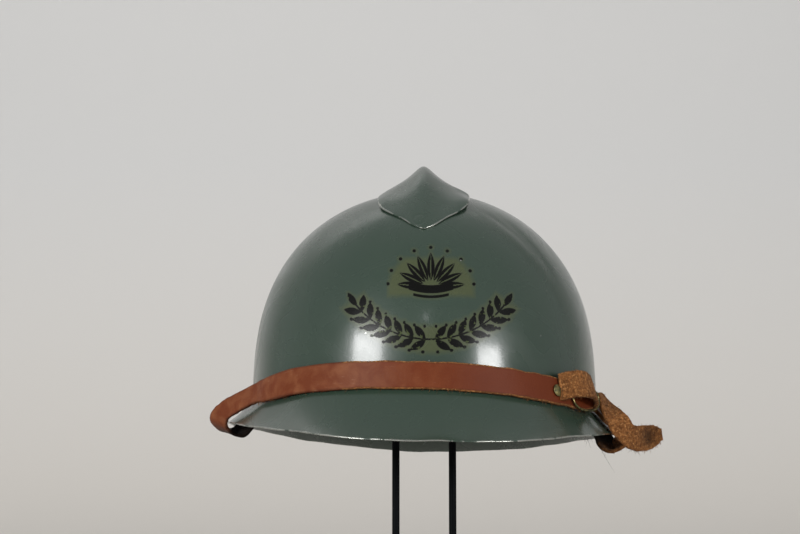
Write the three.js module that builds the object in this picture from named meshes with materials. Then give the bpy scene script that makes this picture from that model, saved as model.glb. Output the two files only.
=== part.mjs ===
// Steel helmet with a comb and a leather chin strap, on a plain stand with two rods.
// Millimetres. Z is up, the visor points along -Y, and the origin is the middle of the stand's underside.
import * as THREE from "three";
import { mergeVertices } from "three/addons/utils/BufferGeometryUtils.js";

// Steel bowl, measured from the plane through the lowest points of the rim
const bowlHalfWidth = 101;
const bowlFront = 113;
const bowlRear = 116;
const bowlRise = 126;
const bowlFootHeight = 24.4;
const bowlSkirt = 3;
const bowlFullness = 2.69;
const steelSheet = 0.8;
const seamGap = 0.3;

// Vent in the crown of the bowl
const ventHalfWidth = 7;
const ventHalfLength = 34;

// Brim: visor, side flanges and neck guard
const rimHalfWidth = 115;
const rimFront = 143;
const rimRear = 145;
const rimSideRise = 10.8;
const seamFront = 28.5;
const seamSide = 23;
const seamRear = 27;
const collarHeight = 7;
const brimHollow = 0.35;
const brimLean = 0.026;

// Comb
const combFront = 86;
const combRear = 85;
const combHalfWidth = 26;
const combRise = 12.5;
const combSheet = 1;
const combGap = 0.45;
const combRidgeRound = 0.2;

// Straps and their fold. A turn is an angle round the helmet in degrees, 0 at the visor.
const strapWidth = 15;
const strapThickness = 2.2;
const strapGap = 0.55;
const strapLeftTurn = -78;
const strapRightTurn = 68;
const foldStart = 43.5;
const foldEnd = 57.5;
const foldDepth = 6.4;
const tailReach = 37;

// Stud and ring
const studRadius = 3.4;
const studHeight = 1.1;
const studTurn = 42.8;
const ringHalfLength = 11.4;
const ringHalfHeight = 9.4;
const ringLift = 1.6;
const ringWire = 1.5;
const ringTurn = 56.2;
const ringSlant = 0.15;
const ringStandOff = 3.9;
const ringSquareness = 2.7;

// Brackets inside the bowl
const bracketHeight = 16;
const bracketTurn = 4.5;
const bracketSheet = 1.5;
const bracketGap = 0.3;

// Stand
const standHeight = 125;
const baseRadius = 80;
const baseThickness = 8;
const baseBevel = 1;
const rodRadius = 2.2;
const rodSpacing = 33.4;
const saddleHalfWidth = 36;
const saddleHalfLength = 30;
const saddleThickness = 5;
const standGap = 0.3;

// Mesh fineness
const roundSteps = 60;
const bowlSteps = 14;
const brimSteps = 6;
const combRows = 26;
const combColumns = 12;
const strapStepsPerPlace = 3;
const ringSteps = 32;
const wireSides = 6;
const diskSteps = 40;
const rodSides = 16;
const mergeDistance = 1e-4;

// The comb's outline from its front point to its rear point: share of its half width and of its rise
const combSections = [
  { at: 0, width: 0, rise: 0 },
  { at: 0.02, width: 0.25, rise: 0.02 },
  { at: 0.05, width: 0.45, rise: 0.05 },
  { at: 0.1, width: 0.76, rise: 0.15 },
  { at: 0.15, width: 0.95, rise: 0.32 },
  { at: 0.21, width: 1, rise: 0.55 },
  { at: 0.3, width: 1, rise: 0.85 },
  { at: 0.38, width: 0.86, rise: 1 },
  { at: 0.5, width: 0.72, rise: 1 },
  { at: 0.62, width: 0.82, rise: 0.95 },
  { at: 0.72, width: 1, rise: 0.8 },
  { at: 0.8, width: 0.98, rise: 0.55 },
  { at: 0.87, width: 0.85, rise: 0.3 },
  { at: 0.93, width: 0.55, rise: 0.12 },
  { at: 0.97, width: 0.3, rise: 0.04 },
  { at: 1, width: 0, rise: 0 },
];

// The strap's way round the front, by turn: lift of its middle over the seam as a share of its width,
// and how far it stands off the helmet as a share of its thickness
const strapLine = [
  { at: -70, lift: -0.15, out: 1.6 },
  { at: -63, lift: 0.04, out: 0.6 },
  { at: -56, lift: 0.2, out: 0.1 },
  { at: -43, lift: 0.37, out: 0 },
  { at: -23, lift: 0.43, out: 0 },
  { at: -7, lift: 0.41, out: 0 },
  { at: 8, lift: 0.41, out: 0 },
  { at: 24, lift: 0.37, out: 0 },
  { at: 34, lift: 0.31, out: 0 },
  { at: 43, lift: 0.25, out: 0 },
];

// The fold at the strap's right end: along and depth are shares of its own, lift is a share of the strap's
// width, and tilt leans its lower edge outwards
const foldLine = [
  { along: 0.55, depth: 0, lift: 0, tilt: 0 },
  { along: 0.92, depth: 0.08, lift: 0.02, tilt: 0.05 },
  { along: 1.1, depth: 0.5, lift: 0.1, tilt: 0.15 },
  { along: 0.95, depth: 1, lift: 0.17, tilt: 0.3 },
  { along: 0.6, depth: 1.12, lift: 0.27, tilt: 0.4 },
  { along: 0.28, depth: 0.95, lift: 0.25, tilt: 0.3 },
  { along: 0.05, depth: 0.68, lift: 0.17, tilt: 0.1 },
];

// The straps' ways over and under the rim, with out and rise as shares of the strap's width
const overLeftRim = [
  { out: -0.72, rise: -0.14, tip: 0, flare: 0 },
  { out: -0.26, rise: -0.5, tip: 0, flare: 0.1 },
  { out: 0.08, rise: -0.38, tip: 0, flare: 0.35 },
  { out: 0.3, rise: -0.02, tip: 0.1, flare: 0.5 },
  { out: 0.26, rise: 0.36, tip: 0.4, flare: 0.3 },
];
const overRightRim = [
  { out: -0.82, rise: -0.2, tip: 0, flare: 0 },
  { out: -0.74, rise: -0.5, tip: 0, flare: 0 },
  { out: -0.38, rise: -0.7, tip: 0, flare: 0 },
  { out: 0.04, rise: -0.58, tip: 0, flare: 0 },
  { out: 0.22, rise: -0.28, tip: 0, flare: 0 },
  { out: 0.33, rise: 0.04, tip: 0, flare: 0 },
];
const acrossBrimShares = [0.66, 0.3];

// The short strap's free end beyond the ring: offsets as shares of its reach, its width as a share of the
// strap's, and the way its width lies
const tailLine = [
  { right: -0.04, back: 0.23, rise: -0.2, width: 1, acrossX: 0.35, acrossY: 0.94, acrossZ: 0 },
  { right: -0.04, back: 0.27, rise: -0.02, width: 1, acrossX: 0.3, acrossY: 0.95, acrossZ: 0 },
  { right: 0.03, back: 0.28, rise: 0, width: 1, acrossX: 0.2, acrossY: 0.96, acrossZ: 0.1 },
  { right: 0.11, back: 0.14, rise: -0.18, width: 1, acrossX: 0.4, acrossY: 0.85, acrossZ: 0.3 },
  { right: 0.3, back: -0.07, rise: -0.47, width: 1, acrossX: 0.45, acrossY: 0.35, acrossZ: 0.8 },
  { right: 0.49, back: -0.01, rise: -0.65, width: 0.95, acrossX: 0.1, acrossY: 0, acrossZ: 1 },
  { right: 0.7, back: 0.15, rise: -0.66, width: 0.95, acrossX: 0, acrossY: 0, acrossZ: 1 },
  { right: 0.87, back: 0.29, rise: -0.62, width: 0.8, acrossX: -0.08, acrossY: 0, acrossZ: 1 },
  { right: 0.97, back: 0.35, rise: -0.6, width: 0.45, acrossX: -0.12, acrossY: 0, acrossZ: 1 },
];

// Shallow dents: where on the bowl, how wide and how deep as shares of its half width
const dents = [
  { turn: 42, reach: 0.66, radius: 0.24, depth: 0.014 },
  { turn: 66, reach: 0.8, radius: 0.2, depth: 0.01 },
];

// The seam's corner, as a share of the collar
const seamBend = 0.12;

const mix = THREE.MathUtils.lerp;
const radians = Math.PI / 180;
const fullTurn = 360;
const up = new THREE.Vector3(0, 0, 1);
const bowlFoot = standHeight + bowlFootHeight;
const collarOut = seamGap + steelSheet;
const strapSeat = strapGap + strapThickness / 2;
const insideStrap = steelSheet + bracketSheet + 2 * bracketGap + strapSeat;

const enamel = new THREE.MeshStandardMaterial({ color: 0x4f6055, roughness: 0.25, metalness: 0.1 });
const leather = new THREE.MeshStandardMaterial({ color: 0x703c2a, roughness: 0.55 });
const brass = new THREE.MeshStandardMaterial({ color: 0x8a7a4a, roughness: 0.4, metalness: 0.9 });
const black = new THREE.MeshStandardMaterial({ color: 0x17191b, roughness: 0.5, metalness: 0.3 });

// A row of a table between its neighbours, read at one key.
function tableAt(table, key, column) {
  const next = table.findIndex((row) => row.at >= key);
  if (next === 0) return table[0][column];
  if (next < 0) return table[table.length - 1][column];
  const low = table[next - 1];
  const high = table[next];
  return mix(low[column], high[column], (key - low.at) / (high.at - low.at));
}

// Even steps from one value to another, both ends included.
function steps(from, to, count) {
  return Array.from({ length: count + 1 }, (_, step) => mix(from, to, step / count));
}

// One closed body from two faces given as rows of points, with walls along their edges.
// A closed sheet joins its last row to its first.
function sheetBody(front, back, closed) {
  const columns = front[0].length;
  const points = [...front.flat(), ...back.flat()];
  const backStart = front.length * columns;
  const faces = [];
  const addQuad = (a, b, c, d) => faces.push([a, b, c], [a, c, d]);
  const rowPairs = closed ? front.length : front.length - 1;
  for (let row = 0; row < rowPairs; row += 1) {
    const here = row * columns;
    const there = ((row + 1) % front.length) * columns;
    for (let column = 0; column < columns - 1; column += 1) {
      addQuad(here + column, there + column, there + column + 1, here + column + 1);
      addQuad(backStart + here + column + 1, backStart + there + column + 1,
        backStart + there + column, backStart + here + column);
    }
    const last = columns - 1;
    addQuad(here, backStart + here, backStart + there, there);
    addQuad(there + last, backStart + there + last, backStart + here + last, here + last);
  }
  if (!closed) {
    const end = (front.length - 1) * columns;
    for (let column = 0; column < columns - 1; column += 1) {
      addQuad(column, column + 1, backStart + column + 1, backStart + column);
      addQuad(end + column + 1, end + column, backStart + end + column, backStart + end + column + 1);
    }
  }
  return closedGeometry(points, faces);
}

// Merges equal points, drops faces that have shrunk to a line, and turns the body right side out.
function closedGeometry(points, faces) {
  const rough = new THREE.BufferGeometry();
  rough.setAttribute("position", new THREE.Float32BufferAttribute(points.flatMap((p) => p.toArray()), 3));
  rough.setIndex(faces.flat());
  const merged = mergeVertices(rough, mergeDistance);
  const index = Array.from(merged.getIndex().array);
  const position = merged.getAttribute("position");
  const corner = (number) => new THREE.Vector3().fromBufferAttribute(position, number);
  const kept = [];
  let volume = 0;
  for (let start = 0; start < index.length; start += 3) {
    const [a, b, c] = index.slice(start, start + 3);
    if (a === b || b === c || c === a) continue;
    kept.push([a, b, c]);
    volume += corner(a).dot(corner(b).cross(corner(c)));
  }
  merged.setIndex((volume > 0 ? kept : kept.map(([a, b, c]) => [a, c, b])).flat());
  return merged;
}

// A point of an oval about the helmet's middle. Turn is 0 at the visor and 90 at the +X side.
function ovalPoint(turn, halfWidth, front, rear, height) {
  const along = Math.cos(turn * radians);
  return new THREE.Vector3(halfWidth * Math.sin(turn * radians), -(along > 0 ? front : rear) * along, height);
}

// The level direction straight out of the bowl's wall.
function outward(turn) {
  const along = Math.cos(turn * radians);
  const length = along > 0 ? bowlFront : bowlRear;
  return new THREE.Vector3(Math.sin(turn * radians) / bowlHalfWidth, -along / length, 0).normalize();
}

// The level direction along the bowl's wall, towards a growing turn.
function sideways(turn) {
  return new THREE.Vector3().crossVectors(up, outward(turn));
}

// Height of the bowl over a place in plan. Inset is 0 for the outer face.
function bowlHeight(x, y, inset) {
  const length = (y < 0 ? bowlFront : bowlRear) - inset;
  const reach = (x / (bowlHalfWidth - inset)) ** 2 + (y / length) ** 2;
  return bowlFoot + (bowlRise - inset) * Math.max(0, 1 - reach) ** (1 / bowlFullness);
}

// Dents push the wall in towards the middle of the bowl's foot.
function dented(point) {
  const middle = new THREE.Vector3(0, 0, bowlFoot);
  const moved = point.clone();
  for (const dent of dents) {
    const plan = ovalPoint(dent.turn, bowlHalfWidth * dent.reach, bowlFront * dent.reach, bowlRear * dent.reach, 0);
    const centre = plan.setZ(bowlHeight(plan.x, plan.y, 0));
    const away = point.distanceTo(centre) / (dent.radius * bowlHalfWidth);
    const push = dent.depth * bowlHalfWidth * Math.exp(-away * away);
    moved.addScaledVector(point.clone().sub(middle).normalize(), -push);
  }
  return moved;
}

function bowlFace(inset) {
  return steps(0, fullTurn, roundSteps).slice(0, -1).map((turn) => {
    const vent = ovalPoint(turn, ventHalfWidth, ventHalfLength, ventHalfLength, 0);
    const edge = ovalPoint(turn, bowlHalfWidth - inset, bowlFront - inset, bowlRear - inset, bowlFoot);
    const rows = steps(0, 1, bowlSteps).map((share) => {
      const spread = Math.sqrt(1 - Math.cos(share * Math.PI / 2) ** bowlFullness);
      const place = vent.clone().lerp(edge, spread);
      return dented(place.setZ(share < 1 ? bowlHeight(place.x, place.y, inset) : bowlFoot));
    });
    return [...rows, edge.clone().setZ(bowlFoot - bowlSkirt)];
  });
}

// Height of the seam between the bowl and the brim.
function seamHeight(turn) {
  const along = Math.cos(turn * radians);
  const end = along > 0 ? seamFront : seamRear;
  const lean = brimLean * bowlHalfWidth * Math.sin(turn * radians);
  return standHeight + mix(seamSide, end, along * along) - lean;
}

function rimHeight(turn) {
  const across = Math.sin(turn * radians);
  return standHeight + rimSideRise * across * across - brimLean * rimHalfWidth * across;
}

function rimPoint(turn) {
  return ovalPoint(turn, rimHalfWidth, rimFront, rimRear, rimHeight(turn));
}

function collarPoint(turn, height) {
  const foot = ovalPoint(turn, bowlHalfWidth, bowlFront, bowlRear, height);
  return foot.addScaledVector(outward(turn), collarOut);
}

// A point on the brim's upper face. Share is 0 at the seam and 1 at the rim, and the face is hollow.
function brimPoint(turn, share) {
  const drop = (1 + brimHollow) * share - brimHollow * share * share;
  const place = collarPoint(turn, 0).lerp(rimPoint(turn), share);
  return place.setZ(mix(seamHeight(turn), rimHeight(turn), drop));
}

// The brim's upper face comes first, and the lower face lies one sheet under it.
function brimFaces() {
  const turns = steps(0, fullTurn, roundSteps).slice(0, -1);
  const upper = [];
  const lower = [];
  for (const turn of turns) {
    const seam = seamHeight(turn);
    const out = outward(turn);
    const collar = [collarPoint(turn, seam + collarHeight), collarPoint(turn, seam + collarHeight * seamBend)];
    const skirt = steps(seamBend * seamBend, 1, brimSteps).map((share) => brimPoint(turn, share));
    const slope = skirt.map((point, step) => {
      const before = skirt[Math.max(0, step - 1)];
      const after = skirt[Math.min(brimSteps, step + 1)];
      const along = after.clone().sub(before);
      return new THREE.Vector3().crossVectors(sideways(turn), along).normalize();
    });
    upper.push([...collar, ...skirt]);
    lower.push([
      ...collar.map((point) => point.clone().addScaledVector(out, -steelSheet)),
      ...skirt.map((point, step) => point.clone().addScaledVector(slope[step], steelSheet)),
    ]);
  }
  return [upper, lower];
}

// The comb follows the bowl, and its bell-shaped section rises over the vent.
function combFaces() {
  const roundTop = Math.sqrt(1 + combRidgeRound ** 2);
  const under = steps(0, 1, combRows).map((share) => {
    const y = mix(-combFront, combRear, share);
    const halfWidth = combHalfWidth * tableAt(combSections, share, "width");
    return steps(-1, 1, combColumns).map((side) => {
      const x = side * halfWidth;
      const bell = (roundTop - Math.sqrt(side * side + combRidgeRound ** 2)) / (roundTop - combRidgeRound);
      const rise = combRise * tableAt(combSections, share, "rise") * bell;
      return new THREE.Vector3(x, y, bowlHeight(x, y, 0) + combGap + rise);
    });
  });
  const over = under.map((row) => row.map((point) => point.clone().setZ(point.z + combSheet)));
  return [over, under];
}

// A strap's centre and the direction of its width, where it lies against the helmet.
// Out is how far its middle lies beyond the place where it would touch.
function strapOnHelmet(turn, lift, out) {
  const middle = seamHeight(turn) + lift * strapWidth;
  const edge = (height) => {
    const drop = (seamHeight(turn) - height) / (seamHeight(turn) - rimHeight(turn));
    const root = Math.sqrt((1 + brimHollow) ** 2 - 4 * brimHollow * Math.max(0, drop));
    const share = (1 + brimHollow - root) / (2 * brimHollow);
    return brimPoint(turn, share).setZ(height).addScaledVector(outward(turn), strapSeat + out);
  };
  const top = edge(middle + strapWidth / 2);
  const bottom = edge(middle - strapWidth / 2);
  return { centre: top.clone().lerp(bottom, 0.5), across: top.clone().sub(bottom).normalize() };
}

// A place beside the rim. Out and rise are shares of the strap's width. Tip turns the width upwards, and flare
// turns it outwards.
function besideRim(turn, row) {
  const centre = rimPoint(turn).addScaledVector(outward(turn), row.out * strapWidth);
  centre.z += row.rise * strapWidth;
  const across = sideways(turn).multiplyScalar(Math.sign(turn) * (1 - row.tip)).addScaledVector(up, row.tip);
  return { centre, across: across.addScaledVector(outward(turn), row.flare).normalize() };
}

// A place on the brim's upper face where the strap lies flat and runs outwards. Share is 1 at the rim.
function acrossBrim(turn, share) {
  const slope = brimPoint(turn, 1).sub(brimPoint(turn, 0));
  const facing = new THREE.Vector3().crossVectors(slope, sideways(turn)).normalize();
  const centre = brimPoint(turn, share).addScaledVector(facing, strapSeat + strapGap);
  return { centre, across: sideways(turn).multiplyScalar(Math.sign(turn)) };
}

// A place against the bracket inside the bowl, at a height above the bowl's foot.
function insideBowl(turn, height) {
  const centre = ovalPoint(turn, bowlHalfWidth, bowlFront, bowlRear, bowlFoot + height);
  centre.addScaledVector(outward(turn), -insideStrap);
  return { centre, across: sideways(turn).multiplyScalar(Math.sign(turn)) };
}

// A leather strap: a flat section carried through its places on a smooth path.
function strapBody(places) {
  const edge = (side) => new THREE.CatmullRomCurve3(places.map((place) => (
    place.centre.clone().addScaledVector(place.across, side * (place.width ?? 1) * strapWidth / 2)
  )), false, "centripetal");
  const top = edge(1);
  const bottom = edge(-1);
  const rows = steps(0, 1, (places.length - 1) * strapStepsPerPlace).map((share) => {
    const high = top.getPoint(share);
    const low = bottom.getPoint(share);
    const halfWidth = Math.min(strapWidth, high.distanceTo(low)) / 2;
    return { centre: high.clone().lerp(low, 0.5), across: high.sub(low).normalize(), halfWidth };
  });
  const face = (side) => rows.map((row, step) => {
    const before = rows[Math.max(0, step - 1)].centre;
    const after = rows[Math.min(rows.length - 1, step + 1)].centre;
    const facing = new THREE.Vector3().crossVectors(after.clone().sub(before), row.across).normalize();
    return steps(1, -1, 2).map((place) => row.centre.clone()
      .addScaledVector(row.across, place * row.halfWidth)
      .addScaledVector(facing, side * strapThickness / 2));
  });
  return sheetBody(face(1), face(-1), false);
}

function strapLong() {
  const inside = [
    insideBowl(strapLeftTurn, bracketHeight),
    insideBowl(strapLeftTurn, bracketHeight / 4),
    insideBowl(strapLeftTurn, -bowlSkirt),
  ];
  const rim = overLeftRim.map((row) => besideRim(strapLeftTurn, row));
  const front = strapLine.map((row) => strapOnHelmet(row.at, row.lift, row.out * strapThickness));
  const fold = foldLine.map((row) => {
    const turn = mix(foldStart, foldEnd, row.along);
    const place = strapOnHelmet(turn, tableAt(strapLine, turn, "lift") + row.lift, row.depth * foldDepth);
    place.across.addScaledVector(outward(turn), -row.tilt).normalize();
    return place;
  });
  return strapBody([...inside, ...rim, ...front, ...fold]);
}

// The ring's own frame: the middle, its long direction, its height and the way it faces.
function ringFrame() {
  const strap = strapOnHelmet(ringTurn, tableAt(strapLine, ringTurn, "lift"), 0);
  const out = outward(ringTurn);
  const along = sideways(ringTurn).addScaledVector(out, ringSlant).normalize();
  const facing = new THREE.Vector3().crossVectors(along, strap.across).normalize();
  const high = new THREE.Vector3().crossVectors(facing, along).normalize();
  const middle = strap.centre.clone().addScaledVector(out, ringStandOff).addScaledVector(high, ringLift);
  return { middle, along, high, facing };
}

// A wire bent to a rounded oblong.
class RingPath extends THREE.Curve {
  constructor(frame) {
    super();
    this.frame = frame;
  }
  getPoint(share) {
    const angle = share * 2 * Math.PI;
    const bend = (value) => Math.sign(value) * Math.abs(value) ** (2 / ringSquareness);
    return this.frame.middle.clone()
      .addScaledVector(this.frame.along, ringHalfLength * bend(Math.cos(angle)))
      .addScaledVector(this.frame.high, ringHalfHeight * bend(Math.sin(angle)));
  }
}

function ringBody() {
  const path = new RingPath(ringFrame());
  const rings = steps(0, 1, ringSteps).slice(0, -1).map((share, step, all) => {
    const centre = path.getPoint(share);
    const before = path.getPoint(all[(step + all.length - 1) % all.length]);
    const after = path.getPoint(all[(step + 1) % all.length]);
    const level = new THREE.Vector3().crossVectors(after.sub(before), path.frame.facing).normalize();
    return steps(0, 2 * Math.PI, wireSides).map((angle) => centre.clone()
      .addScaledVector(level, Math.cos(angle) * ringWire / 2)
      .addScaledVector(path.frame.facing, Math.sin(angle) * ringWire / 2));
  });
  const faces = [];
  const points = rings.flat();
  rings.forEach((ring, step) => {
    const here = step * ring.length;
    const there = ((step + 1) % rings.length) * ring.length;
    for (let side = 0; side < wireSides; side += 1) {
      faces.push([here + side, there + side, there + side + 1]);
      faces.push([here + side, there + side + 1, here + side + 1]);
    }
  });
  return closedGeometry(points, faces);
}

function strapShort() {
  const inside = [
    insideBowl(strapRightTurn, bracketHeight),
    insideBowl(strapRightTurn, bracketHeight / 4),
    insideBowl(strapRightTurn, -bowlSkirt),
  ];
  const rim = overRightRim.map((row) => besideRim(strapRightTurn, row));
  const brim = acrossBrimShares.map((share) => acrossBrim(strapRightTurn, share));
  const frame = ringFrame();
  const ringEnd = frame.middle.clone().addScaledVector(frame.along, ringHalfLength);
  const tail = tailLine.map((row) => {
    const centre = ringEnd.clone();
    centre.x += row.right * tailReach;
    centre.y += row.back * tailReach;
    centre.z += row.rise * tailReach;
    const across = new THREE.Vector3(row.acrossX, row.acrossY, row.acrossZ).normalize();
    return { centre, across, width: row.width };
  });
  return strapBody([...inside, ...rim, ...brim, ...tail]);
}

// A low dome on the strap's face beside the fold.
function studBody() {
  const strap = strapOnHelmet(studTurn, tableAt(strapLine, studTurn, "lift"), 0);
  const profile = [[0, 0], [1, 0], [1, 0.4], [0.85, 0.75], [0.5, 0.95], [0, 1]];
  const shape = profile.map(([radius, height]) => new THREE.Vector2(radius * studRadius, height * studHeight));
  const stud = new THREE.LatheGeometry(shape, rodSides);
  const facing = outward(studTurn);
  facing.addScaledVector(strap.across, -facing.dot(strap.across)).normalize();
  stud.applyQuaternion(new THREE.Quaternion().setFromUnitVectors(new THREE.Vector3(0, 1, 0), facing));
  const seat = strap.centre.addScaledVector(facing, strapThickness / 2 + strapGap);
  return stud.translate(seat.x, seat.y, seat.z);
}

// A plate that follows the bowl's inner wall.
function bracketBody(turn) {
  const face = (inset) => steps(turn - bracketTurn, turn + bracketTurn, 3).map((place) => (
    steps(0, bracketHeight, 1).map((height) => (
      ovalPoint(place, bowlHalfWidth, bowlFront, bowlRear, bowlFoot + height)
        .addScaledVector(outward(place), -inset)))));
  const near = steelSheet + 2 * bracketGap;
  return sheetBody(face(near), face(near + bracketSheet), false);
}

// A pad under the crown. Its top follows the inside of the bowl.
function saddleBody() {
  const face = (depth) => steps(-1, 1, 8).map((across) => steps(-1, 1, 8).map((along) => {
    const x = saddleHalfWidth * across * Math.sqrt(1 - along * along / 2);
    const y = saddleHalfLength * along * Math.sqrt(1 - across * across / 2);
    return new THREE.Vector3(x, y, bowlHeight(x, y, steelSheet) - standGap - depth);
  }));
  return sheetBody(face(0), face(saddleThickness), false);
}

function rodBody() {
  const foot = baseThickness + standGap;
  const head = bowlHeight(rodSpacing / 2 + rodRadius, rodRadius, steelSheet) - saddleThickness - 2 * standGap;
  const rod = new THREE.CylinderGeometry(rodRadius, rodRadius, head - foot, rodSides);
  return rod.rotateX(Math.PI / 2).translate(0, 0, (head + foot) / 2);
}

function baseBody() {
  const profile = [
    [0, 0], [baseRadius - baseBevel, 0], [baseRadius, baseBevel],
    [baseRadius, baseThickness - baseBevel], [baseRadius - baseBevel, baseThickness], [0, baseThickness],
  ];
  const disk = new THREE.LatheGeometry(profile.map(([radius, height]) => new THREE.Vector2(radius, height)), diskSteps);
  return disk.rotateX(Math.PI / 2);
}

const assembly = new THREE.Group();

function addPiece(name, geometry, material, x = 0) {
  const piece = new THREE.Mesh(geometry, material);
  piece.name = name;
  piece.position.x = x;
  assembly.add(piece);
}

const [brimUpper, brimLower] = brimFaces();
const [combOver, combUnder] = combFaces();
addPiece("bowl", sheetBody(bowlFace(0), bowlFace(steelSheet), true), enamel);
addPiece("brim", sheetBody(brimUpper, brimLower, true), enamel);
addPiece("comb", sheetBody(combOver, combUnder, false), enamel);
addPiece("strap_long", strapLong(), leather);
addPiece("strap_short", strapShort(), leather);
addPiece("strap_stud", studBody(), brass);
addPiece("strap_ring", ringBody(), brass);
addPiece("strap_bracket_left", bracketBody(strapLeftTurn), black);
addPiece("strap_bracket_right", bracketBody(strapRightTurn), black);
addPiece("stand_base", baseBody(), black);
addPiece("stand_rod_left", rodBody(), black, -rodSpacing / 2);
addPiece("stand_rod_right", rodBody(), black, rodSpacing / 2);
addPiece("stand_saddle", saddleBody(), black);

export default assembly;
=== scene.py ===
# %% [markdown]
# # A steel helmet with a comb, on a two-rod stand
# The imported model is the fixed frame. Each cell below dresses one piece of it, in the same place.
# Shapes are worked out in millimetres as numpy grids, and only the finished mesh is in metres.

import bmesh
import bpy
import numpy as np
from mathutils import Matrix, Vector


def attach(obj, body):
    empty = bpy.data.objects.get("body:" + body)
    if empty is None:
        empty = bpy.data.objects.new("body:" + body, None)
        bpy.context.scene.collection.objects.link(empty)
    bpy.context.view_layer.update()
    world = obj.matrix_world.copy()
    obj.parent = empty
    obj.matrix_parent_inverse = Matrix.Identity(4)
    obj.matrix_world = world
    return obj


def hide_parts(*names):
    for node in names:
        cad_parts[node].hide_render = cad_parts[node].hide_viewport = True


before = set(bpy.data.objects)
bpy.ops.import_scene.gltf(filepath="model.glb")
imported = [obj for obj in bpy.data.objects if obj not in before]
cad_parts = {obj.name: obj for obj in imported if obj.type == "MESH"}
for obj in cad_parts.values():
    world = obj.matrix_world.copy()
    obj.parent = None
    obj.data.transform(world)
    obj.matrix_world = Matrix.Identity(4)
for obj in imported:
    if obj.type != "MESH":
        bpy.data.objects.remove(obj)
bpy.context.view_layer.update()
METRE = 0.001
rng = np.random.default_rng(1915)
print("CAD nodes:", sorted(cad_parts))

# %% [markdown]
# ## From a grid of points to a mesh
# Pressed steel, leather and wire are all surfaces of two parameters. They could be pulled out of a cube by
# hand, but a grid of points from a formula stays even and is easy to change. Faces join its neighbours, and
# rows times columns point outwards, so every face does too. Points that meet at a pole or at a tapered end
# are merged, which leaves the body closed.


# %% Grid meshes
def unit(vectors):
    """Each vector over its own length."""
    return vectors / np.maximum(np.linalg.norm(vectors, axis=-1, keepdims=True), 1e-9)


def neighbours(count, wrapped):
    """The numbers of count rows and of the row after each. When wrapped, the last is followed by the first."""
    rows = np.arange(count if wrapped else count - 1)
    return rows, (rows + 1) % count


def corners_of(grid):
    """Four grids with one corner each of every cell, in their order round it."""
    return grid[:-1, :-1], grid[1:, :-1], grid[1:, 1:], grid[:-1, 1:]


def grid_faces(rows, columns, wrap_rows, wrap_columns):
    """Four corners for every cell of the grid, as numbers of points counted row by row."""
    here, there = neighbours(rows, wrap_rows)
    left, right = neighbours(columns, wrap_columns)
    corners = [here[:, None] * columns + left, there[:, None] * columns + left,
               there[:, None] * columns + right, here[:, None] * columns + right]
    return np.stack(corners, axis=-1).reshape(-1, 4)


def piece(name, points, faces, marks=None, finishes=None):
    """A closed, smooth mesh object from points in mm. Marks are one number for each point, by name, and
    finishes is the number of the material for each face."""
    mesh = bpy.data.meshes.new(name)
    mesh.from_pydata(points.reshape(-1, 3) * METRE, [], faces.tolist())
    for mark, values in (marks or {}).items():
        layer = mesh.attributes.new(mark, "FLOAT", "POINT")
        layer.data.foreach_set("value", np.broadcast_to(values, points.shape[:-1]).astype(np.float32).ravel())
    if finishes is not None:
        mesh.polygons.foreach_set("material_index", finishes.astype(np.int32).ravel())
    work = bmesh.new()
    work.from_mesh(mesh)
    bmesh.ops.remove_doubles(work, verts=work.verts, dist=1e-6)
    bmesh.ops.delete(work, geom=[point for point in work.verts if not point.link_faces], context="VERTS")
    work.to_mesh(mesh)
    work.free()
    mesh.polygons.foreach_set("use_smooth", np.ones(len(mesh.polygons), bool))
    made = bpy.data.objects.new(name, mesh)
    bpy.context.scene.collection.objects.link(made)
    print(f"{name}: {len(mesh.vertices)} points, {len(mesh.polygons)} faces")
    return made


def spaced(first, last, count):
    """Steps from first to last that crowd together at both ends, as a cosine does."""
    return first + (last - first) * (0.5 - 0.5 * np.cos(np.linspace(0, np.pi, count)))


def shell(name, face, sheet, closed):
    """Pressed sheet metal with round edges. Each row's section runs along the outer face, round its edge,
    back along the inner face (outer minus sheet times normal) and round the other edge. The mark edge_mm
    is each point's distance from the sheet's edge."""
    along = np.roll(face, -1, 0) - np.roll(face, 1, 0) if closed else np.gradient(face, axis=0)
    across = np.gradient(face, axis=1)
    normal = unit(np.cross(along, across))
    normal = np.where(np.linalg.norm(normal, axis=-1, keepdims=True) > 0.5, normal, [0, 0, 1])
    inner = face - normal * sheet
    bend = np.linspace(0, np.pi, 6)[None, 1:-1, None]

    def edge(column, out):
        """Half a circle from the outer face to the inner one: middle plus half cos plus out sin."""
        middle = (face[:, column] + inner[:, column]) / 2
        half = (face[:, column] - inner[:, column]) / 2
        reach = np.linalg.norm(half, axis=-1)[:, None, None]
        return middle[:, None] + half[:, None] * np.cos(bend) + unit(out)[:, None] * reach * np.sin(bend)

    far, near = edge(-1, across[:, -1]), edge(0, -across[:, 0])[:, ::-1]
    points = np.concatenate([face, far, inner[:, ::-1], near], axis=1)
    steps = np.cumsum(np.linalg.norm(np.diff(face, axis=1, prepend=face[:, :1]), axis=-1), axis=1)
    depth = np.minimum(steps, steps[:, -1:] - steps)
    rim = np.zeros(far.shape[:2])
    marks = {"edge_mm": np.concatenate([depth, rim, depth[:, ::-1], rim], axis=1)}
    return piece(name, points, grid_faces(*points.shape[:2], closed, True), marks)


# %% [markdown]
# ## Bowl
# The bowl was pressed from one disk of 0.8 mm steel. It is an oval dome, fuller than a half ball, with an
# oblong vent in the crown that the comb covers. A scaled ball would be too round, so a power sets how full
# the dome is. A turn is an angle round the helmet, 0 at the visor. Three shallow dents, two soft creases and
# a slight unevenness of the press bend its reflections, as on the real one.

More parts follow.
